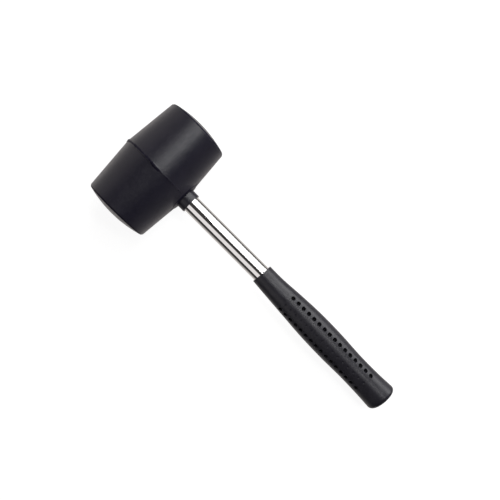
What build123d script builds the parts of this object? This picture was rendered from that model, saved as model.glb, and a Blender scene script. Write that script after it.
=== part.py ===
from build123d import *
import os
from math import cos, radians, sin, tan

# A rubber mallet, in millimetres: a barrel-shaped rubber head moulded onto a chromed steel tube,
# with a dimpled sleeve for a grip. The mallet lies on its side. +X runs along the handle from
# the grip to the head, Y is the striking axis and +Z is up. The origin is the middle of the
# underside of the bounding box.
# Places along the handle are distances from the striking axis, counted towards the butt.

# Head: two blunt cones base to base, with a crowned striking face at each end
face_radius = 32.4
ridge_radius = 36.9
rim_half_length = 52.6
crown_height = 4.8
crown_shoulder = 3.65
rim_chamfer = 1.2
# Parting line: a low band left by the two halves of the mould
bead_radius = 37.7
bead_top_half_width = 0.7
bead_foot_half_width = 1.5
# Pad where the handle enters: a low cone that runs out into the barrel
pad_radius = 15.0
pad_foot_radius = 21.0
pad_distance = 36.3
pad_foot_distance = 30.3
pad_rounding = 0.4

# Tube
tube_radius = 8.5
tube_bore_radius = 7.3
tube_head_end = -22.0
tube_butt_end = 286.0

# Collar: a ring with a foot that the rubber is moulded over
collar_radius = 9.9
collar_end = 44.2
collar_rounding = 0.5
collar_foot_radius = 12.4
collar_foot_distance = 29.3
collar_foot_thickness = 2.0
collar_gap_chamfer = 0.7

# Plugs and cross pin inside
plug_flange_thickness = 2.0
core_plug_depth = 40.0
butt_plug_depth = 12.0
plug_chamfer = 0.6
pin_radius = 2.5
pin_length = 34.0
pin_distance = -10.0

# Grip. Each section is (distance, reach to -Y, reach to +Y, half thickness in Z). The loft through
# them is trimmed at the mouth and at the butt by planes that lean from square by the same angle.
grip_sections = (
    (133.0, 10.7, 9.9, 10.2),
    (152.7, 10.65, 11.5, 11.0),
    (174.8, 12.05, 13.2, 12.4),
    (200.6, 13.1, 15.1, 13.7),
    (226.3, 12.7, 15.85, 13.9),
    (255.8, 11.15, 15.65, 13.3),
    (276.0, 11.1, 16.25, 13.6),
    (298.0, 12.05, 17.6, 14.8),
)
grip_mouth = 135.3
grip_butt = 295.6
grip_lean = radians(4.5)
grip_mouth_rounding = 0.4
grip_butt_rounding = 4.0

# Dimples in the grip's two broad sides, in columns with the same lean.
# Each row is (Y at the first column, Y at the last column, ball radius, depth)
dimple_rows = (
    (-4.6, -4.6, 2.0, 1.8),
    (4.6, 4.6, 3.0, 0.3),
    (10.7, 12.5, 2.0, 1.8),
)
dimple_columns = 16
first_column = 170.6
column_pitch = 6.58

# The parting line is the lowest and the foremost part of the mallet. The hindmost is the butt's
# rounded edge at -Y, where the lean carries it back.
butt_reach = grip_butt + (grip_sections[-1][1] - grip_butt_rounding) * tan(grip_lean)
axis_height = bead_radius
head_x = (butt_reach - bead_radius) / 2
head_plane = Plane(origin=(head_x, 0, axis_height))
striking_axis = Axis((head_x, 0, axis_height), (0, 1, 0))


def across(distance):
    """A plane square to the handle that faces the butt, with its local X along +Y."""
    return Plane(origin=(head_x - distance, 0, axis_height), x_dir=(0, 1, 0), z_dir=(-1, 0, 0))


def cylinder(start, end, radius, mode=Mode.ADD):
    """A cylinder on the handle's axis, from one distance to another."""
    with BuildSketch(across(start)) as disc:
        Circle(radius)
    extrude(disc.sketch, amount=end - start, mode=mode)


def leaning(distance):
    """A plane through the handle's axis that faces the butt and leans from square."""
    return Plane(
        origin=(head_x - distance, 0, axis_height),
        z_dir=(-cos(grip_lean), sin(grip_lean), 0),
    )


def cross_pin(mode=Mode.ADD):
    """The upright pin through the tube, or the hole for it."""
    with BuildSketch(head_plane.offset(-pin_length / 2)) as disc:
        with Locations((-pin_distance, 0)):
            Circle(pin_radius)
    extrude(disc.sketch, amount=pin_length, mode=mode)


os.makedirs("parts", exist_ok=True)


# Rubber head ---------------------------------------------------------------------------------
with BuildPart() as rubber_head:
    with BuildSketch(head_plane):
        with BuildLine():
            Polyline(
                (0, rim_half_length + crown_height),
                (0, -rim_half_length - crown_height),
            )
            ThreePointArc(
                (0, -rim_half_length - crown_height),
                (face_radius / 2, -rim_half_length - crown_shoulder),
                (face_radius, -rim_half_length),
            )
            Polyline(
                (face_radius, -rim_half_length),
                (ridge_radius, -bead_foot_half_width),
                (bead_radius, -bead_top_half_width),
                (bead_radius, bead_top_half_width),
                (ridge_radius, bead_foot_half_width),
                (face_radius, rim_half_length),
            )
            ThreePointArc(
                (face_radius, rim_half_length),
                (face_radius / 2, rim_half_length + crown_shoulder),
                (0, rim_half_length + crown_height),
            )
        make_face()
    revolve(axis=striking_axis)
    rims = rubber_head.edges().filter_by(GeomType.CIRCLE).group_by(SortBy.RADIUS)[0]
    chamfer(rims, rim_chamfer)

    # The pad stands out of the barrel's flanks, and its face cuts across the ridge
    with Locations(across(pad_distance)):
        Cone(
            pad_foot_radius,
            pad_radius,
            pad_distance - pad_foot_distance,
            align=(Align.CENTER, Align.CENTER, Align.MAX),
        )
    split(bisect_by=across(pad_distance), keep=Keep.BOTTOM)
    pad_rim = rubber_head.faces().sort_by(Axis.X)[0].outer_wire().edges()
    fillet(pad_rim, pad_rounding)

    # Where the rubber closes round the tube, its plug, the pin and the collar
    cylinder(tube_head_end - plug_flange_thickness, pad_distance, tube_radius, Mode.SUBTRACT)
    cylinder(
        collar_foot_distance,
        collar_foot_distance + collar_foot_thickness,
        collar_foot_radius,
        Mode.SUBTRACT,
    )
    cylinder(collar_foot_distance, pad_distance, collar_radius, Mode.SUBTRACT)
    cross_pin(Mode.SUBTRACT)
    collar_mouth = rubber_head.faces().sort_by(Axis.X)[0].inner_wires().edges()
    chamfer(collar_mouth, collar_gap_chamfer)
rubber_head.part.label = "rubber_head"
export_step(rubber_head.part, "parts/rubber_head.step")


# Neck collar ---------------------------------------------------------------------------------
with BuildPart() as neck_collar:
    cylinder(collar_foot_distance, collar_end, collar_radius)
    fillet(neck_collar.edges().sort_by(Axis.X)[0], collar_rounding)
    cylinder(
        collar_foot_distance,
        collar_foot_distance + collar_foot_thickness,
        collar_foot_radius,
    )
    cylinder(collar_foot_distance, collar_end, tube_radius, Mode.SUBTRACT)
neck_collar.part.label = "neck_collar"
export_step(neck_collar.part, "parts/neck_collar.step")


# Handle tube ---------------------------------------------------------------------------------
with BuildPart() as handle_tube:
    cylinder(tube_head_end, tube_butt_end, tube_radius)
    cylinder(tube_head_end, tube_butt_end, tube_bore_radius, Mode.SUBTRACT)
    cross_pin(Mode.SUBTRACT)
handle_tube.part.label = "handle_tube"
export_step(handle_tube.part, "parts/handle_tube.step")


# Core plug -----------------------------------------------------------------------------------
with BuildPart() as core_plug:
    cylinder(tube_head_end, tube_head_end + core_plug_depth, tube_bore_radius)
    chamfer(core_plug.edges().sort_by(Axis.X)[0], plug_chamfer)
    cylinder(tube_head_end - plug_flange_thickness, tube_head_end, tube_radius)
    cross_pin(Mode.SUBTRACT)
core_plug.part.label = "core_plug"
export_step(core_plug.part, "parts/core_plug.step")


# Anchor pin ----------------------------------------------------------------------------------
with BuildPart() as anchor_pin:
    cross_pin()
anchor_pin.part.label = "anchor_pin"
export_step(anchor_pin.part, "parts/anchor_pin.step")


# Butt plug -----------------------------------------------------------------------------------
with BuildPart() as butt_plug:
    cylinder(tube_butt_end - butt_plug_depth, tube_butt_end, tube_bore_radius)
    chamfer(butt_plug.edges().sort_by(Axis.X)[-1], plug_chamfer)
    cylinder(tube_butt_end, tube_butt_end + plug_flange_thickness, tube_radius)
butt_plug.part.label = "butt_plug"
export_step(butt_plug.part, "parts/butt_plug.step")


# Grip ----------------------------------------------------------------------------------------
with BuildPart() as grip:
    for distance, reach_back, reach_front, half_thickness in grip_sections:
        with BuildSketch(across(distance)):
            with Locations(((reach_front - reach_back) / 2, 0)):
                Ellipse((reach_front + reach_back) / 2, half_thickness)
    loft()
    split(bisect_by=leaning(grip_mouth), keep=Keep.TOP)
    split(bisect_by=leaning(grip_butt), keep=Keep.BOTTOM)
    fillet(grip.faces().sort_by(Axis.X)[0].edges(), grip_butt_rounding)
    fillet(grip.faces().sort_by(Axis.X)[-1].edges(), grip_mouth_rounding)

    # Dimples: balls sunk into the skin where an upright line through each place meets it
    plain_sleeve = grip.part
    for side in (1, -1):
        for first_y, last_y, ball_radius, depth in dimple_rows:
            ball_centres = []
            for column in range(dimple_columns):
                y = first_y + (last_y - first_y) * column / (dimple_columns - 1)
                x = head_x - first_column - column * column_pitch + y * tan(grip_lean)
                upright = Axis((x, y, axis_height), (0, 0, side))
                skin, outward = plain_sleeve.find_intersection_points(upright)[-1]
                ball_centres.append(skin + outward * (ball_radius - depth))
            with Locations(*ball_centres):
                Sphere(ball_radius, rotation=(0, -90 * side, 0), mode=Mode.SUBTRACT)

    cylinder(0, tube_butt_end + plug_flange_thickness, tube_radius, Mode.SUBTRACT)
grip.part.label = "grip"
export_step(grip.part, "parts/grip.step")
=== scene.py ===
import math

import bmesh
import bpy
import numpy as np
from mathutils import Matrix, Vector, noise


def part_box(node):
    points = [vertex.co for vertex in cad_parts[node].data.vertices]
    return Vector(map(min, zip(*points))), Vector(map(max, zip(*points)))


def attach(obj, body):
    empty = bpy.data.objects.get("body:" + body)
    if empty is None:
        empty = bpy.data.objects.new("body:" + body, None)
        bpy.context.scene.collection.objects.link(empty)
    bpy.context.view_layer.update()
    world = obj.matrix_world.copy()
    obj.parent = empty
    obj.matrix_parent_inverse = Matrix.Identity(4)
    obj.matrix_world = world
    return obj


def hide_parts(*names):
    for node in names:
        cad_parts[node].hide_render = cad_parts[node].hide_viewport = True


# The looks of a rubber mallet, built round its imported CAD. Lengths are in metres unless a name
# ends in mm. The mallet lies on its side: its handle runs along -X from the head, its striking
# axis is parallel to Y, and places along the handle are distances from that axis, counted towards
# the butt.

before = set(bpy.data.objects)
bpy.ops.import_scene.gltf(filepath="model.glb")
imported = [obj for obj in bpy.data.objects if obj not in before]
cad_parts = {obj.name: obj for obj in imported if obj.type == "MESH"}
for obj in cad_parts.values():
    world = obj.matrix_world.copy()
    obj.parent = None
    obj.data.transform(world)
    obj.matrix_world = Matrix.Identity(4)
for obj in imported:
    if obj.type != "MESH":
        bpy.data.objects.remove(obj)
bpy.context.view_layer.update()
MM = 0.001

# Where the CAD nodes are
head_low, head_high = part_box("rubber_head")
collar_low, collar_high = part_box("neck_collar")
tube_low, tube_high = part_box("handle_tube")
BEAD_RADIUS = (head_high.z - head_low.z) / 2
AXIS_Z = (head_high.z + head_low.z) / 2
HEAD_X = head_high.x - BEAD_RADIUS
HEAD_CENTRE = Vector((HEAD_X, 0, AXIS_Z))
TUBE_RADIUS = (tube_high.z - tube_low.z) / 2
TUBE_BUTT_END = HEAD_X - tube_low.x
TUBE_HEAD_END = HEAD_X - tube_high.x
COLLAR_END = HEAD_X - collar_low.x
COLLAR_FOOT = HEAD_X - collar_high.x
COLLAR_FOOT_RADIUS = (collar_high.z - collar_low.z) / 2
PAD_DISTANCE = HEAD_X - head_low.x

# The rest of the sizes of all but the grip, as in the CAD
FACE_RADIUS = 32.4 * MM
RIDGE_RADIUS = 36.9 * MM
RIM_HALF_LENGTH = 52.6 * MM
CROWN_HEIGHT = 4.8 * MM
RIM_CHAMFER = 1.2 * MM
BEAD_FOOT = 1.5 * MM
PAD_RADIUS = 15.0 * MM
PAD_FOOT_RADIUS = 21.0 * MM
PAD_FOOT_DISTANCE = 30.3 * MM
PAD_ROUNDING = 0.4 * MM
COLLAR_RADIUS = 9.9 * MM
COLLAR_ROUNDING = 0.5 * MM
COLLAR_FOOT_THICKNESS = 2.0 * MM
COLLAR_GAP = 0.7 * MM
PLUG_FLANGE = 2.0 * MM
TUBE_BORE_RADIUS = 7.3 * MM
PIN_RADIUS = 2.5 * MM
PIN_LENGTH = 34.0 * MM
PIN_DISTANCE = -10.0 * MM

# Only in the looks: the rounding of the rim chamfer's two edges, and how far the pad's face falls
# away from the collar to its rim
RIM_EDGE = 0.3 * MM
PAD_FALL = 0.7 * MM

# Grip sections: distance, reach to -Y, reach to +Y, half thickness in Z, all in millimetres
GRIP_SECTIONS_MM = (
    (133.0, 10.7, 9.9, 10.2),
    (152.7, 10.65, 11.5, 11.0),
    (174.8, 12.05, 13.2, 12.4),
    (200.6, 13.1, 15.1, 13.7),
    (226.3, 12.7, 15.85, 13.9),
    (255.8, 11.15, 15.65, 13.3),
    (276.0, 11.1, 16.25, 13.6),
    (298.0, 12.05, 17.6, 14.8),
)
GRIP_MOUTH = 135.3 * MM
# 0.05 mm short of the CAD's, to stay inside its box
GRIP_BUTT = 295.55 * MM
# How far the mouth, the butt and the dimples' columns lean along X for each metre of Y
GRIP_LEAN = math.tan(math.radians(4.5))
MOUTH_ROUNDING = 0.4 * MM
BUTT_ROUNDING = 4.0 * MM

# Rows of dimples: Y at the first column, Y at the last column, ball radius and depth, all in
# millimetres
DIMPLE_ROWS_MM = (
    (-4.6, -4.6, 2.0, 1.8),
    (4.6, 4.6, 3.0, 0.3),
    (10.7, 12.5, 2.0, 1.8),
)
DIMPLE_COLUMNS = 16
FIRST_COLUMN = 170.6 * MM
COLUMN_PITCH = 6.58 * MM


# Camera --------------------------------------------------------------------------------------
# It looks down on the bare tube from a bit over half a metre, rolled so that the handle runs down
# to the right, and from a little to one side of upright.
VIEW_DISTANCE = 0.5566
VIEW_ALONG_HANDLE = 0.1123
VIEW_ACROSS = 0.0082
VIEW_TURN = math.radians(2.36)
LENS_MM = 43.56
SENSOR_MM = 36


def make_camera():
    """The view, with the picture's diagonals along the handle and across it."""
    side = Vector((0, -math.cos(VIEW_TURN), math.sin(VIEW_TURN)))
    down_handle = Vector((-1, 0, 0))
    right = (side + down_handle).normalized()
    up = (side - down_handle).normalized()
    back = right.cross(up)
    aim = HEAD_CENTRE + down_handle * VIEW_ALONG_HANDLE + side * VIEW_ACROSS
    data = bpy.data.cameras.new("camera")
    data.sensor_width = SENSOR_MM
    data.lens = LENS_MM
    camera = bpy.data.objects.new("camera", data)
    turn = Matrix((right, up, back)).transposed().to_4x4()
    camera.matrix_world = Matrix.Translation(aim + back * VIEW_DISTANCE) @ turn
    bpy.context.scene.collection.objects.link(camera)
    bpy.context.scene.camera = camera


# Mesh helpers --------------------------------------------------------------------------------
# The radius from which a turned solid's ends close on its axis
NEAR_AXIS = 0.05 * MM
# The crease angle of what has been carved
CARVED_CREASE = math.radians(32)


def add_mesh(name, points, faces, crease=math.radians(35)):
    """A new object of smooth faces, with its edges kept sharp past the crease angle."""
    mesh = bpy.data.meshes.new(name)
    mesh.from_pydata([tuple(p) for p in points], [], faces)
    mesh.validate()
    obj = bpy.data.objects.new(name, mesh)
    bpy.context.scene.collection.objects.link(obj)
    smooth(obj, crease)
    return obj


def smooth(obj, crease):
    """Smooth shading, with edges past the crease angle kept sharp."""
    obj.data.shade_smooth()
    obj.data.set_sharp_from_angle(angle=crease)


def skin_rings(rings, closed_ends=True):
    """Points and faces of the skin over rings of equal size. Each end closes on its ring's middle."""
    rings = np.asarray(rings, float)
    count, size = rings.shape[:2]
    points = rings.reshape(-1, 3)
    around = np.arange(size)
    beyond = (around + 1) % size
    faces = []
    for i in range(count - 1):
        a, b = i * size, (i + 1) * size
        faces += np.stack([a + around, a + beyond, b + beyond, b + around], 1).tolist()
    if closed_ends:
        first, last = len(points), len(points) + 1
        points = np.concatenate([points, [rings[0].mean(0)], [rings[-1].mean(0)]])
        a, b = 0, (count - 1) * size
        faces += [[a + i, a + j, first] for i, j in zip(around, beyond)]
        faces += [[b + j, b + i, last] for i, j in zip(around, beyond)]
    return points, faces


def outward(obj):
    """Turns a closed mesh's faces outwards."""
    bm = bmesh.new()
    bm.from_mesh(obj.data)
    bmesh.ops.recalc_face_normals(bm, faces=bm.faces)
    bm.to_mesh(obj.data)
    bm.free()
    return obj


def full_turn(columns):
    """Evenly spaced angles once round."""
    return np.arange(columns) * 2 * np.pi / columns


def turned_rings(outline, columns):
    """Rings about the handle's axis, one for each (distance, radius) of an outline."""
    angle = full_turn(columns)
    return [
        np.stack([np.full(columns, HEAD_X - d), r * np.cos(angle), AXIS_Z + r * np.sin(angle)], 1)
        for d, r in outline
    ]


def lathe(name, profile, columns=192):
    """A solid turned about the handle's axis. The profile is (distance, radius) pairs."""
    return outward(add_mesh(name, *skin_rings(turned_rings(profile, columns))))


def ring_solid(name, outline, columns=192):
    """A turned ring: its outline runs from the bore over the outside and back to the bore."""
    points, faces = skin_rings(turned_rings([*outline, outline[0]], columns), closed_ends=False)
    size = len(outline) * columns
    faces = [[i % size for i in face] for face in faces]
    return outward(add_mesh(name, points[:size], faces))


def pin_hole(columns=48):
    """A cylinder the size of the cross pin, in its place, to cut its hole with."""
    angle = full_turn(columns)
    x, y = HEAD_X - PIN_DISTANCE + PIN_RADIUS * np.cos(angle), PIN_RADIUS * np.sin(angle)
    ends = (AXIS_Z - PIN_LENGTH / 2, AXIS_Z + PIN_LENGTH / 2)
    rings = [np.stack([x, y, np.full(columns, z)], 1) for z in ends]
    return outward(add_mesh("pin_hole", *skin_rings(rings)))


def rounded(corners, radii, steps=6):
    """A polyline with the corners between its ends rounded by arcs of the given radii."""
    path = [corners[0]]
    for before, corner, after, radius in zip(corners, corners[1:], corners[2:], radii):
        p, q, r = (np.array(c, float) for c in (before, corner, after))
        if not radius:
            path.append(tuple(q))
            continue
        into, away = (p - q) / np.linalg.norm(p - q), (r - q) / np.linalg.norm(r - q)
        half = math.acos(float(np.clip(into @ away, -1, 1))) / 2
        reach = radius / math.tan(half)
        bisector = (into + away) / np.linalg.norm(into + away)
        centre = q + bisector * radius / math.sin(half)
        start, end = q + into * reach - centre, q + away * reach - centre
        total = math.pi - 2 * half
        for k in range(steps + 1):
            w = total * k / steps
            point = centre + (math.sin(total - w) * start + math.sin(w) * end) / math.sin(total)
            path.append(tuple(point))
    path.append(corners[-1])
    return path


def stretches(path, longest):
    """The same polyline with its long runs divided."""
    made = [path[0]]
    for a, b in zip(path, path[1:]):
        a, b = np.array(a, float), np.array(b, float)
        parts = max(1, math.ceil(np.linalg.norm(b - a) / longest))
        made += [tuple(a + (b - a) * k / parts) for k in range(1, parts + 1)]
    return made


def carve(obj, other, operation):
    """Joins another closed mesh to this one, or cuts it away, and removes the other."""
    tool = obj.modifiers.new("carve", "BOOLEAN")
    tool.operation = operation
    tool.solver = "EXACT"
    tool.object = other
    graph = bpy.context.evaluated_depsgraph_get()
    carved = bpy.data.meshes.new_from_object(obj.evaluated_get(graph))
    obj.modifiers.remove(tool)
    obj.data = carved
    bpy.data.objects.remove(other)


# Head ----------------------------------------------------------------------------------------
# How far down the flanks the rim's rings reach
RIM_REACH = 3 * MM
# The distance, well inside the barrel, from which the pad is built up
PAD_ROOT = 24 * MM
# Beside the parting line, the width over which it runs out into the barrel
BEAD_SLOPE = 0.45 * MM
# How far the barrel stays inside the plane of the pad's face
PAD_CLEARANCE = 0.1 * MM
# How far the bore's cutter reaches out past the pad's face
CUTTER_EXCESS = 1 * MM


def cone_radius(y):
    """The barrel's radius at a place along the striking axis, without the parting line."""
    slope = (RIDGE_RADIUS - FACE_RADIUS) / (RIM_HALF_LENGTH - BEAD_FOOT)
    return RIDGE_RADIUS + (BEAD_FOOT - abs(y)) * slope


def barrel_profile():
    """(y, radius) from one face's middle to the other's, close together where it curves."""
    crown = (FACE_RADIUS**2 + CROWN_HEIGHT**2) / (2 * CROWN_HEIGHT)
    crown_top = RIM_HALF_LENGTH + CROWN_HEIGHT

    def on_crown(a):
        return crown_top - crown * (1 - math.cos(a)), crown * math.sin(a)

    def on_cone(y):
        return y, cone_radius(y)

    face_angle = math.asin(FACE_RADIUS / crown)
    near_middle, clear_of_edge = 0.004, 0.5 * MM
    edge = on_crown(face_angle - RIM_CHAMFER / crown)
    face = [on_crown(a) for a in np.linspace(near_middle, face_angle, 30)]
    face = [(y, r) for y, r in face if r < edge[1] - clear_of_edge]
    rim_end = on_cone(RIM_HALF_LENGTH - RIM_REACH)
    corners = [face[-1], edge, on_cone(RIM_HALF_LENGTH - RIM_CHAMFER), rim_end]
    rim = rounded(corners, [RIM_EDGE, RIM_EDGE])
    # Rings 1.5 mm apart down the flank, and 0.2 mm apart across the parting line
    spots = np.concatenate([np.arange(48, 3, -1.5), np.arange(2.8, 0, -0.2)]) * MM
    half = face + rim[1:] + [on_cone(y) for y in spots]
    return half + [on_cone(0)] + [(-y, r) for y, r in reversed(half)]


def bead_shape(angle):
    """Half width and height of the parting line at an angle about the striking axis, 0 at the top
    of the head and growing towards +Z. It is broad at the top of the head, where the mould was
    filled, and a thin trimmed flash on the sides, with one thick spot near the middle of each. From
    there to the pad it is low."""
    from_top = abs((angle + math.pi) % (2 * math.pi) - math.pi)
    broad = math.exp(-((from_top / math.radians(38)) ** 2))
    fading = min(max((from_top - math.radians(92)) / math.radians(16), 0), 1)
    spot = math.exp(-(((from_top - math.radians(94)) / math.radians(9)) ** 2))
    ragged = noise.noise(Vector((3 * math.cos(angle), 3 * math.sin(angle), 0))) * 0.18
    half_width = (0.62 + 1.0 * broad + 0.45 * spot + 0.5 * ragged) * MM
    height = (0.34 + 0.3 * broad + 0.12 * spot + 0.3 * ragged) * (1 - 0.75 * fading) * MM
    return half_width, height


def make_head():
    angles = full_turn(360)
    beads = [bead_shape(a) for a in angles]
    rings = []
    for y, radius in barrel_profile():
        ring = []
        for angle, (half_width, height) in zip(angles, beads):
            slope = min(max(1 - (abs(y) - half_width) / BEAD_SLOPE, 0), 1)
            proud = height * slope**2 * (3 - 2 * slope)
            # Away from the parting line the moulding is a little uneven
            spot = Vector((radius * math.cos(angle), y, radius * math.sin(angle)))
            wave = noise.noise(spot * 45) * 0.05 * MM * min(1, abs(y) / (8 * MM))
            reach = min(radius + proud + min(wave, 0), BEAD_RADIUS)
            x = max(reach * math.cos(angle), PAD_CLEARANCE - PAD_DISTANCE)
            ring.append((HEAD_X + x, y, AXIS_Z + reach * math.sin(angle)))
        rings.append(ring)
    head = outward(add_mesh("head_rubber", *skin_rings(rings)))
    corners = [
        (PAD_ROOT, NEAR_AXIS),
        (PAD_ROOT, PAD_FOOT_RADIUS),
        (PAD_FOOT_DISTANCE, PAD_FOOT_RADIUS),
        (PAD_DISTANCE - PAD_FALL, PAD_RADIUS),
        (PAD_DISTANCE, COLLAR_RADIUS + 1 * MM),
        (PAD_DISTANCE, NEAR_AXIS),
    ]
    pad = lathe("pad", rounded(corners, [0, 0, PAD_ROUNDING, PAD_ROUNDING]))
    carve(head, pad, "UNION")
    bore = lathe(
        "bore",
        [
            (TUBE_HEAD_END - PLUG_FLANGE, NEAR_AXIS),
            (TUBE_HEAD_END - PLUG_FLANGE, TUBE_RADIUS),
            (COLLAR_FOOT, TUBE_RADIUS),
            (COLLAR_FOOT, COLLAR_FOOT_RADIUS),
            (COLLAR_FOOT + COLLAR_FOOT_THICKNESS, COLLAR_FOOT_RADIUS),
            (COLLAR_FOOT + COLLAR_FOOT_THICKNESS, COLLAR_RADIUS),
            (PAD_DISTANCE - COLLAR_GAP, COLLAR_RADIUS),
            (PAD_DISTANCE + CUTTER_EXCESS, COLLAR_RADIUS + COLLAR_GAP + CUTTER_EXCESS),
            (PAD_DISTANCE + CUTTER_EXCESS, NEAR_AXIS),
        ],
    )
    carve(head, bore, "DIFFERENCE")
    carve(head, pin_hole(), "DIFFERENCE")
    smooth(head, CARVED_CREASE)
    return head


# Collar and tube -----------------------------------------------------------------------------
def make_collar():
    foot_end = COLLAR_FOOT + COLLAR_FOOT_THICKNESS
    outline = rounded(
        [
            (COLLAR_FOOT, TUBE_RADIUS),
            (COLLAR_FOOT, COLLAR_FOOT_RADIUS),
            (foot_end, COLLAR_FOOT_RADIUS),
            (foot_end, COLLAR_RADIUS),
            (COLLAR_END, COLLAR_RADIUS),
            (COLLAR_END, TUBE_RADIUS),
        ],
        [0, 0, 0, COLLAR_ROUNDING],
        steps=8,
    )
    return ring_solid("collar_ring", stretches(outline, 1 * MM))


def make_tube():
    outline = [
        (TUBE_HEAD_END, TUBE_BORE_RADIUS),
        (TUBE_HEAD_END, TUBE_RADIUS),
        (TUBE_BUTT_END, TUBE_RADIUS),
        (TUBE_BUTT_END, TUBE_BORE_RADIUS),
    ]
    tube = ring_solid("chromed_tube", stretches(outline, 4 * MM), columns=256)
    carve(tube, pin_hole(), "DIFFERENCE")
    smooth(tube, CARVED_CREASE)
    return tube


# Grip ----------------------------------------------------------------------------------------
def through(table, at):
    """Smooth values at the places `at` of the curves through a table whose first column is place."""
    table = np.array(table, float)
    place, values = table[:, 0], table[:, 1:]
    slopes = np.gradient(values, place, axis=0)
    i = np.clip(np.searchsorted(place, at) - 1, 0, len(place) - 2)
    gap = (place[i + 1] - place[i])[..., None]
    w = ((at - place[i])[..., None]) / gap
    return (
        (2 * w**3 - 3 * w**2 + 1) * values[i]
        + (w**3 - 2 * w**2 + w) * gap * slopes[i]
        + (3 * w**2 - 2 * w**3) * values[i + 1]
        + (w**3 - w**2) * gap * slopes[i + 1]
    )


def sleeve_ring(distance, inset, angle):
    """One ring round the sleeve's skin, moved inwards by an inset. It leans as the mouth does."""
    y = np.zeros_like(angle)
    # Where a leaning ring meets a section depends on its Y, so a few rounds settle them both
    for _ in range(6):
        place = distance - y * GRIP_LEAN
        back, front, half_thickness = (through(GRIP_SECTIONS_MM, place / MM) * MM).T
        depth, middle = (front + back) / 2, (front - back) / 2
        ny, nz = np.cos(angle) / depth, np.sin(angle) / half_thickness
        length = np.hypot(ny, nz)
        y = middle + depth * np.cos(angle) - inset * ny / length
    z = half_thickness * np.sin(angle) - inset * nz / length
    return np.stack([HEAD_X - distance + y * GRIP_LEAN, y, AXIS_Z + z], 1)


def skin_point(y, side, distance):
    """The point of the sleeve's skin at a Y on one broad side, with the outward normal there."""
    angle = np.array([math.pi / 2 * side])
    nudge = 1e-4
    for _ in range(20):
        error = sleeve_ring(distance, 0, angle)[0, 1] - y
        step = sleeve_ring(distance, 0, angle + nudge)[0, 1] - y - error
        angle = angle - error * nudge / step
    here = sleeve_ring(distance, 0, angle)[0]
    along = sleeve_ring(distance + nudge, 0, angle)[0] - here
    round_it = sleeve_ring(distance, 0, angle + 10 * nudge)[0] - here
    normal = np.cross(round_it, along)
    normal /= np.linalg.norm(normal)
    return here, normal * (1 if normal[2] * side > 0 else -1)


def sink_dimples(points):
    """Pushes the points that lie inside a dimple's ball down to its far side."""
    for side in (1, -1):
        for first_y, last_y, ball_mm, depth_mm in DIMPLE_ROWS_MM:
            ball, depth = ball_mm * MM, depth_mm * MM
            for column in range(DIMPLE_COLUMNS):
                y = (first_y + (last_y - first_y) * column / (DIMPLE_COLUMNS - 1)) * MM
                here, normal = skin_point(y, side, FIRST_COLUMN + column * COLUMN_PITCH)
                centre = here + normal * (ball - depth)
                offset = points - centre
                up = offset @ normal
                across = np.sqrt(np.maximum(0, (offset**2).sum(-1) - up**2))
                near = (across < ball) & (np.abs(up) < 3 * ball)
                push = np.where(near, up + np.sqrt(np.maximum(0, ball**2 - across**2)), 0)
                points -= np.maximum(push, 0)[..., None] * normal
    return points


def make_grip():
    angle = full_turn(232)
    dimples_start = FIRST_COLUMN - COLUMN_PITCH / 2
    dimples_end = FIRST_COLUMN + (DIMPLE_COLUMNS - 0.5) * COLUMN_PITCH
    # Rings close together only where the dimples are
    spots = np.concatenate(
        [
            np.linspace(GRIP_MOUTH + MOUTH_ROUNDING, dimples_start, 26)[:-1],
            np.arange(dimples_start, dimples_end, COLUMN_PITCH / 20),
            np.linspace(dimples_end, GRIP_BUTT - BUTT_ROUNDING, 16),
        ]
    )
    outside = sink_dimples(np.stack([sleeve_ring(d, 0, angle) for d in spots]))

    def edge_ring(end, rounding, turn):
        """A ring on a rounded edge, from the skin at turn 0 to the end's face at a quarter turn."""
        inset = abs(rounding) * (1 - math.cos(turn))
        return sleeve_ring(end - rounding * (1 - math.sin(turn)), inset, angle)

    turns = np.linspace(0, math.pi / 2, 9)[1:]
    mouth = [edge_ring(GRIP_MOUTH, -MOUTH_ROUNDING, turn) for turn in reversed(turns)]
    butt = [edge_ring(GRIP_BUTT, BUTT_ROUNDING, turn) for turn in turns]
    face = butt[-1]
    middle = face.mean(0)
    end_face = [middle + (face - middle) * share for share in (0.93, 0.8, 0.6, 0.4, 0.2, 0.02)]

    # Inside: the bore for the tube and its plug, from the blind end out to the leaning mouth
    def bore_ring(distance, radius, lean=0):
        y = radius * np.cos(angle)
        x = HEAD_X - distance + y * lean
        return np.stack([x, y, AXIS_Z + radius * np.sin(angle)], 1)

    bore_end, last_upright = TUBE_BUTT_END + PLUG_FLANGE, GRIP_MOUTH + 5 * MM
    chamfer = 0.3 * MM
    inside = [bore_ring(bore_end, TUBE_RADIUS * share) for share in (0.01, 0.5, 1)]
    inside += [bore_ring(d, TUBE_RADIUS) for d in np.linspace(bore_end, last_upright, 12)[1:]]
    inside += [bore_ring(GRIP_MOUTH + chamfer, TUBE_RADIUS, GRIP_LEAN)]
    inside += [bore_ring(GRIP_MOUTH, TUBE_RADIUS + chamfer, GRIP_LEAN)]

    rings = inside + mouth + list(outside) + butt + end_face
    return outward(add_mesh("grip_sleeve", *skin_rings(rings), crease=math.radians(40)))


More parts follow.
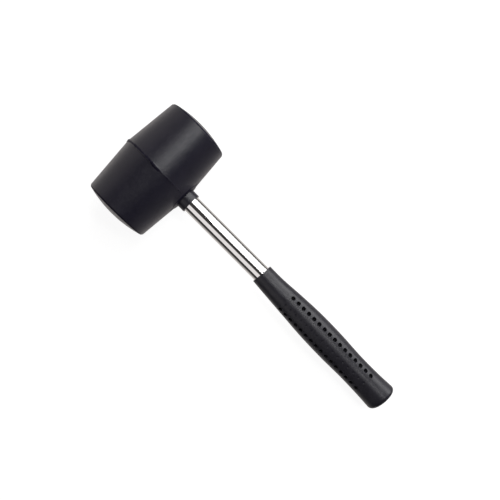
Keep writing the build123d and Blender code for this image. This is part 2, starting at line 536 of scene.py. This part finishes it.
# Materials -----------------------------------------------------------------------------------
class Nodes:
    """A material's node tree, with short ways to add and join nodes."""

    def __init__(self, name):
        self.material = bpy.data.materials.new(name)
        self.material.use_nodes = True
        self.tree = self.material.node_tree
        self.shader = self.tree.nodes["Principled BSDF"]
        self.place = self.add("ShaderNodeTexCoord").outputs["Object"]

    def add(self, kind, **values):
        """A new node with the given settings."""
        node = self.tree.nodes.new(kind)
        for name, value in values.items():
            setattr(node, name, value)
        return node

    def join(self, source, target):
        """A link from one socket to another."""
        self.tree.links.new(source, target)

    def noise(self, scale, detail, roughness=0.5, stretch=None):
        """A noise value over the object's own place. Scale is in patches per metre."""
        place = self.place
        if stretch:
            mapping = self.add("ShaderNodeMapping")
            mapping.inputs["Scale"].default_value = stretch
            self.join(place, mapping.inputs["Vector"])
            place = mapping.outputs["Vector"]
        node = self.add("ShaderNodeTexNoise")
        node.inputs["Scale"].default_value = scale
        node.inputs["Detail"].default_value = detail
        node.inputs["Roughness"].default_value = roughness
        self.join(place, node.inputs["Vector"])
        return node.outputs["Fac"]

    def part(self, axis):
        """One coordinate of the place, in metres."""
        node = self.add("ShaderNodeSeparateXYZ")
        self.join(self.place, node.inputs[0])
        return node.outputs[axis]

    def maths(self, operation, *values):
        """A sum over sockets and numbers."""
        node = self.add("ShaderNodeMath", operation=operation)
        for value, target in zip(values, node.inputs):
            if isinstance(value, (int, float)):
                target.default_value = value
            else:
                self.join(value, target)
        return node.outputs[0]

    def spread(self, value, low, high, from_low=0.35, from_high=0.65):
        """A value mapped from one range to another."""
        node = self.add("ShaderNodeMapRange")
        for name, number in zip(
            ("From Min", "From Max", "To Min", "To Max"), (from_low, from_high, low, high)
        ):
            node.inputs[name].default_value = number
        self.join(value, node.inputs["Value"])
        return node.outputs["Result"]

    def colours(self, value, *stops):
        """A colour ramp over a value. Each stop is (place, (red, green, blue))."""
        ramp = self.add("ShaderNodeValToRGB")
        elements = ramp.color_ramp.elements
        while len(elements) < len(stops):
            elements.new(0.5)
        for element, (place, colour) in zip(elements, stops):
            element.position = place
            element.color = (*colour, 1)
        self.join(value, ramp.inputs["Fac"])
        return ramp.outputs["Color"]

    def bump(self, height, distance, strength, below=None):
        """Bump from a height socket, `distance` metres high at 1, added to the bump below it."""
        node = self.add("ShaderNodeBump")
        node.inputs["Distance"].default_value = distance
        node.inputs["Strength"].default_value = strength
        self.join(height, node.inputs["Height"])
        if below:
            self.join(below, node.inputs["Normal"])
        return node.outputs["Normal"]

    def finish(self, colour, roughness=None, normal=None):
        """Joins what is given to the shader."""
        for source, name in ((colour, "Base Color"), (roughness, "Roughness"), (normal, "Normal")):
            if source:
                self.join(source, self.shader.inputs[name])
        return self.material


# The shader's specular level on plain rubber and on fully dull rubber
DULLED_SHINE = (0.5, 0.04)

# The dull, cut part of the parting line: a place along X from the striking axis, the half width
# and the middle in Y, all in millimetres
CUT_FLASH_MM = (
    (-13, 0.0, 0.2),
    (-8, 1.0, 0.6),
    (-3, 1.4, 0.5),
    (1, 1.0, -0.1),
    (4, 0.7, -0.7),
    (28, 0.8, -0.7),
    (33, 1.5, 0.0),
    (37, 1.9, 0.2),
)


def cut_flash(n):
    """1 on the cut part of the parting line and 0 off it, with ragged edges. A ramp along X gives
    the half width in red and the middle in green, as shares of a band round Y 0."""
    band_mm = 4
    first, last = CUT_FLASH_MM[0][0], CUT_FLASH_MM[-1][0]
    along = n.spread(n.part("X"), 0, 1, HEAD_X + first * MM, HEAD_X + last * MM)
    shape = n.add("ShaderNodeSeparateColor")
    stops = [
        ((x - first) / (last - first), (half / band_mm, 0.5 + middle / band_mm, 0))
        for x, half, middle in CUT_FLASH_MM
    ]
    n.join(n.colours(along, *stops), shape.inputs[0])
    half, middle = shape.outputs["Red"], shape.outputs["Green"]
    y = n.maths("MULTIPLY_ADD", n.part("Y"), 1 / (band_mm * MM), 0.5)
    off = n.maths("SUBTRACT", n.maths("ABSOLUTE", n.maths("SUBTRACT", y, middle)), half)
    ragged = n.spread(n.noise(420, detail=3, roughness=0.7), -0.1, 0.1)
    return n.spread(n.maths("ADD", off, ragged), 1, 0, -0.05, 0.05)


def trimmed_rims(n):
    """1 on the chamfers of the two rims, where the faces were trimmed, and 0 elsewhere."""
    y = n.maths("ABSOLUTE", n.part("Y"))
    x, z = (n.maths("SUBTRACT", n.part(axis), middle) for axis, middle in (("X", HEAD_X), ("Z", AXIS_Z)))
    radius = n.maths("SQRT", n.maths("ADD", n.maths("MULTIPLY", x, x), n.maths("MULTIPLY", z, z)))
    ragged = n.spread(n.noise(300, detail=3, roughness=0.7), -0.3 * MM, 0.3 * MM)
    flank_edge, face_edge = RIM_HALF_LENGTH - RIM_CHAMFER, FACE_RADIUS - RIM_CHAMFER
    off_flank = n.spread(n.maths("ADD", y, ragged), 0, 1, flank_edge - 0.1 * MM, flank_edge + 0.3 * MM)
    off_face = n.spread(radius, 0, 1, face_edge - 0.1 * MM, face_edge + 0.2 * MM)
    return n.maths("MULTIPLY", off_flank, off_face)


def pad_face(n):
    """1 on the face of the pad round the collar and 0 elsewhere."""
    rim_x = HEAD_X - PAD_DISTANCE + PAD_FALL
    return n.spread(n.part("X"), 1, 0, rim_x + 0.2 * MM, rim_x + 0.5 * MM)


def head_rubber_material():
    """Dense black rubber out of a steel mould: a soft sheen, faint mottling and a fine grain. The
    cut flash of the parting line, the trimmed rims and the pad's face are dull."""
    n = Nodes("head_rubber")
    mottle = n.noise(60, detail=5, roughness=0.6)
    grain = n.noise(2600, detail=2)
    ripple = n.noise(260, detail=4, roughness=0.6)
    colour = n.colours(mottle, (0.3, (0.009, 0.0082, 0.0165)), (0.7, (0.0135, 0.0122, 0.022)))
    roughness = n.spread(ripple, 0.33, 0.41)
    dull = n.maths("MAXIMUM", n.maths("MAXIMUM", cut_flash(n), trimmed_rims(n)), pad_face(n))
    n.join(n.spread(dull, *DULLED_SHINE, 0, 1), n.shader.inputs["Specular IOR Level"])
    normal = n.bump(grain, 0.00006, 0.6)
    normal = n.bump(ripple, 0.0002, 0.35, below=normal)
    return n.finish(colour, roughness, normal)


def collar_rubber_material():
    """Black rubber like the head's, with a finer mottling."""
    n = Nodes("collar_rubber")
    mottle = n.noise(300, detail=4)
    grain = n.noise(3000, detail=2)
    colour = n.colours(mottle, (0.3, (0.009, 0.0085, 0.015)), (0.7, (0.014, 0.013, 0.021)))
    roughness = n.spread(mottle, 0.34, 0.42)
    return n.finish(colour, roughness, n.bump(grain, 0.00005, 0.5))


def dimple_dullness_and_painted_shade(n):
    """How dull the skin is, and how much painted shade darkens its colour: 1 deep in the deep dimples and
    less in the shallow ones.
    """
    fully_dull_and_shaded_mm, sleeve_reach_mm = 1.5, 16.5
    x, y = n.part("X"), n.part("Y")
    leant = n.maths("MULTIPLY_ADD", y, GRIP_LEAN, HEAD_X - FIRST_COLUMN)
    column = n.maths("DIVIDE", n.maths("SUBTRACT", leant, x), COLUMN_PITCH)
    nearest = n.maths("MINIMUM", n.maths("MAXIMUM", n.maths("ROUND", column), 0.0), DIMPLE_COLUMNS - 1)
    along = n.maths("MULTIPLY", n.maths("SUBTRACT", column, nearest), COLUMN_PITCH)
    along = n.maths("MULTIPLY", along, along)
    dullness_and_painted_shade = 0.0
    for first_y, last_y, ball_mm, depth_mm in DIMPLE_ROWS_MM:
        radius = math.sqrt(ball_mm**2 - (ball_mm - depth_mm) ** 2) * MM
        row_y = n.maths(
            "MULTIPLY_ADD", nearest, (last_y - first_y) / (DIMPLE_COLUMNS - 1) * MM, first_y * MM
        )
        # A row down the sleeve's side is narrower seen from above
        narrowing = math.sqrt(1 - (last_y / sleeve_reach_mm) ** 2)
        across = n.maths("DIVIDE", n.maths("SUBTRACT", y, row_y), narrowing)
        reach = n.maths("SQRT", n.maths("ADD", along, n.maths("MULTIPLY", across, across)))
        # How dull this row's dimple is here, and how much painted shade darkens it
        dull = n.spread(reach, min(depth_mm / fully_dull_and_shaded_mm, 1), 0, 0.7 * radius, 1.05 * radius)
        dullness_and_painted_shade = n.maths("MAXIMUM", dullness_and_painted_shade, dull)
    return dullness_and_painted_shade


def grip_rubber_material():
    """Softer black rubber with a matte leather-like grain, dull inside the dimples, where painted shade
    darkens its colour.
    """
    n = Nodes("grip_rubber")
    mottle = n.noise(120, detail=5, roughness=0.6)
    grain = n.noise(2200, detail=3, roughness=0.6)
    # The darkest stop is painted shade, reached inside the deep dimples
    shades = ((0.0, (0.003, 0.003, 0.004)), (0.3, (0.0105, 0.0098, 0.016)), (0.7, (0.0165, 0.0155, 0.023)))
    roughness = n.spread(mottle, 0.36, 0.44)
    dull = dimple_dullness_and_painted_shade(n)
    # Painted shade: the colour darkens inside the dimples
    colour = n.colours(n.maths("MULTIPLY_ADD", dull, -0.6, mottle), *shades)
    n.join(n.spread(dull, *DULLED_SHINE, 0, 1), n.shader.inputs["Specular IOR Level"])
    return n.finish(colour, roughness, n.bump(grain, 0.00008, 0.6))


def chrome_material():
    """Bright plating with faint polishing lines round the tube."""
    n = Nodes("chromed_steel")
    n.shader.inputs["Metallic"].default_value = 1
    lines = n.noise(900, detail=2, stretch=(6, 0.4, 0.4))
    haze = n.noise(90, detail=4)
    colour = n.colours(haze, (0.3, (0.83, 0.825, 0.82)), (0.7, (0.9, 0.895, 0.89)))
    roughness = n.spread(haze, 0.03, 0.07)
    return n.finish(colour, roughness, n.bump(lines, 0.0000015, 0.5))


def plug_plastic_material():
    """Plain grey plastic with a matte skin."""
    n = Nodes("plug_plastic")
    mottle = n.noise(500, detail=4)
    colour = n.colours(mottle, (0.3, (0.26, 0.26, 0.25)), (0.7, (0.33, 0.33, 0.32)))
    return n.finish(colour, n.spread(mottle, 0.5, 0.62), n.bump(mottle, 0.00005, 0.4))


def pin_steel_material():
    """Bare steel, drawn along the pin."""
    n = Nodes("pin_steel")
    n.shader.inputs["Metallic"].default_value = 1
    lines = n.noise(1500, detail=2, stretch=(1, 1, 0.1))
    colour = n.colours(lines, (0.3, (0.45, 0.45, 0.46)), (0.7, (0.56, 0.56, 0.57)))
    return n.finish(colour, n.spread(lines, 0.28, 0.4), n.bump(lines, 0.00001, 0.5))


# Floor, lights and surroundings --------------------------------------------------------------
FLOOR_HALF_WIDTH = 3.0
FLOOR_GAP = 0.2 * MM
SOFTBOX_DISTANCE = 1.5


def lean_of_floor(head, grip):
    """The slope about Y of a floor that touches both the head and the grip, and its height at X 0."""
    clouds = []
    for obj in (head, grip):
        co = np.zeros(len(obj.data.vertices) * 3)
        obj.data.vertices.foreach_get("co", co)
        clouds.append(co.reshape(-1, 3)[:, [0, 2]])
    low, high = 0.0, math.radians(15)
    for _ in range(40):
        slope = (low + high) / 2
        normal = np.array([math.sin(slope), math.cos(slope)])
        under_head, under_grip = ((cloud @ normal).min() for cloud in clouds)
        if under_grip > under_head:
            low = slope
        else:
            high = slope
    return slope, under_head / math.cos(slope)


def make_floor(head, grip):
    """A pale sheet just under the mallet. It glows, so that it looks nearly white, and it isn't
    reflected in what shines."""
    slope, height = lean_of_floor(head, grip)
    half = FLOOR_HALF_WIDTH
    corners = [(-half, -half, 0), (half, -half, 0), (half, half, 0), (-half, half, 0)]
    floor = add_mesh("floor", corners, [[0, 1, 2, 3]])
    floor.location.z = height - FLOOR_GAP
    floor.rotation_euler.y = slope
    n = Nodes("floor_paper")
    tone = n.noise(3, detail=2)
    colour = n.colours(tone, (0.3, (0.24, 0.24, 0.24)), (0.7, (0.26, 0.26, 0.26)))
    n.shader.inputs["Roughness"].default_value = 0.9
    n.shader.inputs["Specular IOR Level"].default_value = 0.1
    n.shader.inputs["Emission Color"].default_value = (1, 1, 1, 1)
    n.shader.inputs["Emission Strength"].default_value = 0.9
    floor.data.materials.append(n.finish(colour))
    floor.visible_glossy = False


def add_panel(name, lean, along, brightness, colour=(1, 1, 1)):
    """A softbox that faces the head across its handle. `lean` is the stretch of angles from
    upright that it covers, towards -Y, and `along` its stretch towards the butt as shares of its
    distance. White paper in full light has brightness 1."""
    middle = math.radians(sum(lean) / 2)
    width = (along[1] - along[0]) * SOFTBOX_DISTANCE
    height = 2 * math.tan(math.radians(lean[1] - lean[0]) / 2) * SOFTBOX_DISTANCE
    data = bpy.data.lights.new(name, "AREA")
    data.shape = "RECTANGLE"
    data.size, data.size_y = width, height
    data.energy = brightness * math.pi * width * height
    data.color = colour
    light = bpy.data.objects.new(name, data)
    back = Vector((0, -math.sin(middle), math.cos(middle)))
    side = Vector((1, 0, 0))
    centre = HEAD_CENTRE + (back - side * sum(along) / 2) * SOFTBOX_DISTANCE
    turn = Matrix((side, back.cross(side), back)).transposed().to_4x4()
    light.matrix_world = Matrix.Translation(centre) @ turn
    light.visible_camera = False
    bpy.context.scene.collection.objects.link(light)


def make_lights():
    """A large softbox on the mallet's -Y side, in three parts, and a weaker one on the +Y side,
    with a dark gap overhead between them."""
    add_panel("key_softbox_top", (12.5, 20), (-0.03, 0.52), 8.8)
    add_panel("key_softbox", (20, 84), (-0.35, 0.13), 3.9)
    add_panel("key_softbox_beside", (54, 90), (0.13, 0.85), 3.4)
    add_panel("fill_softbox", (-72, -25), (-0.35, 0.20), 0.84, (1, 0.965, 0.96))


def make_world():
    """Pale to the eye. What the surfaces reflect of it is a dark room over a pale ground, with a
    pale wall beyond the head and a dimmer one beyond the butt."""
    world = bpy.data.worlds.new("studio")
    bpy.context.scene.world = world
    world.use_nodes = True
    tree = world.node_tree
    coords = tree.nodes.new("ShaderNodeTexCoord")
    split = tree.nodes.new("ShaderNodeSeparateXYZ")
    tree.links.new(coords.outputs["Generated"], split.inputs[0])

    def shades(part, *stops):
        """A ramp over one part of the direction, from -1 to 1."""
        spread = tree.nodes.new("ShaderNodeMapRange")
        spread.inputs["From Min"].default_value = -1
        tree.links.new(split.outputs[part], spread.inputs["Value"])
        ramp = tree.nodes.new("ShaderNodeValToRGB")
        tree.links.new(spread.outputs["Result"], ramp.inputs["Fac"])
        elements = ramp.color_ramp.elements
        while len(elements) < len(stops):
            elements.new(0.5)
        for element, (place, shade) in zip(elements, stops):
            element.position = (place + 1) / 2
            element.color = (shade, shade * 0.95, shade * 0.92, 1)
        return ramp.outputs["Color"]

    ground = shades(
        "Z", (-1, 0.8), (-0.7, 0.62), (-0.5, 0.42), (-0.33, 0.2), (-0.15, 0.07), (0, 0.015),
        (0.4, 0.015), (1, 0.05),
    )
    walls = shades(
        "X", (-1, 0.26), (-0.93, 0.1), (-0.8, 0), (0.45, 0), (0.65, 0.22), (0.8, 0.48), (0.95, 0.62)
    )
    both = tree.nodes.new("ShaderNodeVectorMath")
    both.operation = "ADD"
    path = tree.nodes.new("ShaderNodeLightPath")
    mix = tree.nodes.new("ShaderNodeMix")
    mix.data_type = "RGBA"
    # A mix node has sockets for each kind of value. These are the ones for colours
    factor, reflected, seen, mixed = mix.inputs[0], mix.inputs[6], mix.inputs[7], mix.outputs[2]
    seen.default_value = (0.98, 0.98, 0.98, 1)
    tree.links.new(ground, both.inputs[0])
    tree.links.new(walls, both.inputs[1])
    tree.links.new(path.outputs["Is Camera Ray"], factor)
    tree.links.new(both.outputs[0], reflected)
    tree.links.new(mixed, tree.nodes["Background"].inputs["Color"])


# Assembly ------------------------------------------------------------------------------------
def stand_in(piece, node, material):
    """Puts a piece in the place of a CAD node, with one material."""
    piece.data.materials.clear()
    piece.data.materials.append(material)
    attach(piece, "root")
    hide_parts(node)


make_camera()
head = make_head()
grip = make_grip()
stand_in(head, "rubber_head", head_rubber_material())
stand_in(grip, "grip", grip_rubber_material())
stand_in(make_collar(), "neck_collar", collar_rubber_material())
stand_in(make_tube(), "handle_tube", chrome_material())

# The hidden pieces stay as they are in the CAD
plastic, steel = plug_plastic_material(), pin_steel_material()
for node, material in (("core_plug", plastic), ("butt_plug", plastic), ("anchor_pin", steel)):
    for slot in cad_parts[node].material_slots:
        slot.material = material

make_floor(head, grip)
make_lights()
make_world()
bpy.context.scene.view_settings.view_transform = "Standard"
